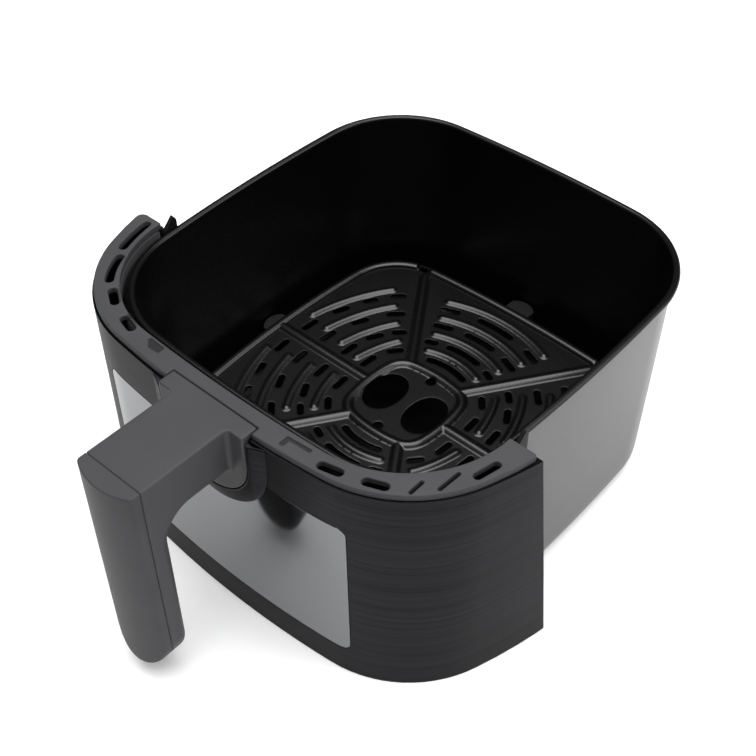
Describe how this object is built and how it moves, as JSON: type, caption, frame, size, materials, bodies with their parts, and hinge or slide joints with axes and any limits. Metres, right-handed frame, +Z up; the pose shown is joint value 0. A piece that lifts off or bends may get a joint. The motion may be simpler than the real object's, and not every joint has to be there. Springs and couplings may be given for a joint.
{
  "type": "air fryer drawer",
  "caption": "Pull-out air fryer drawer: deep pan with rolled rim, wrap-round brushed front with vented bezel, drop handle and a lift-out slotted crisper plate.",
  "frame": {"origin": "centre of the pan's flat underside", "axes": "+Z up; the handle points to -Y; +X is to the right seen from the front"},
  "size_m": [0.2802, 0.3322, 0.147],
  "materials": {
    "pan_steel": "satin non-stick coat inside and out",
    "plate_coating": "semi-gloss non-stick coat",
    "silicone": "matte silicone",
    "bezel_plastic": "fine matte moulded",
    "frame_plastic": "matte moulded",
    "brushed_dark": "dark brushed along the front",
    "satin_silver": "satin",
    "handle_plastic": "satin moulded",
    "cover_plastic": "fine matte moulded",
    "bracket_steel": "plain sheet steel",
    "screw_steel": "zinc plated"
  },
  "bodies": {
    "drawer": {"pan": "pan_steel", "top_bezel": "bezel_plastic", "drawer_frame": "frame_plastic", "front_skin": "brushed_dark", "accent_plate": "satin_silver", "handle_collar": "brushed_dark", "handle_body": "handle_plastic", "grip_cover": "cover_plastic", "handle_bracket": "bracket_steel", "handle_screws": "screw_steel", "bezel_screws": "screw_steel", "pan_bracket_left": "bracket_steel", "pan_bracket_right": "bracket_steel", "pan_screws": "screw_steel", "catch_left": "frame_plastic", "catch_right": "frame_plastic"},
    "crisper": {"crisper_plate": "plate_coating", "bumper_front": "silicone", "bumper_rear": "silicone", "bumper_left": "silicone", "bumper_right": "silicone"}
  },
  "joints": [
    {"name": "plate_lift", "type": "slide", "parent": "drawer", "child": "crisper", "axis": [0, 0, 1], "range_m": [0, 0.15]}
  ]
}
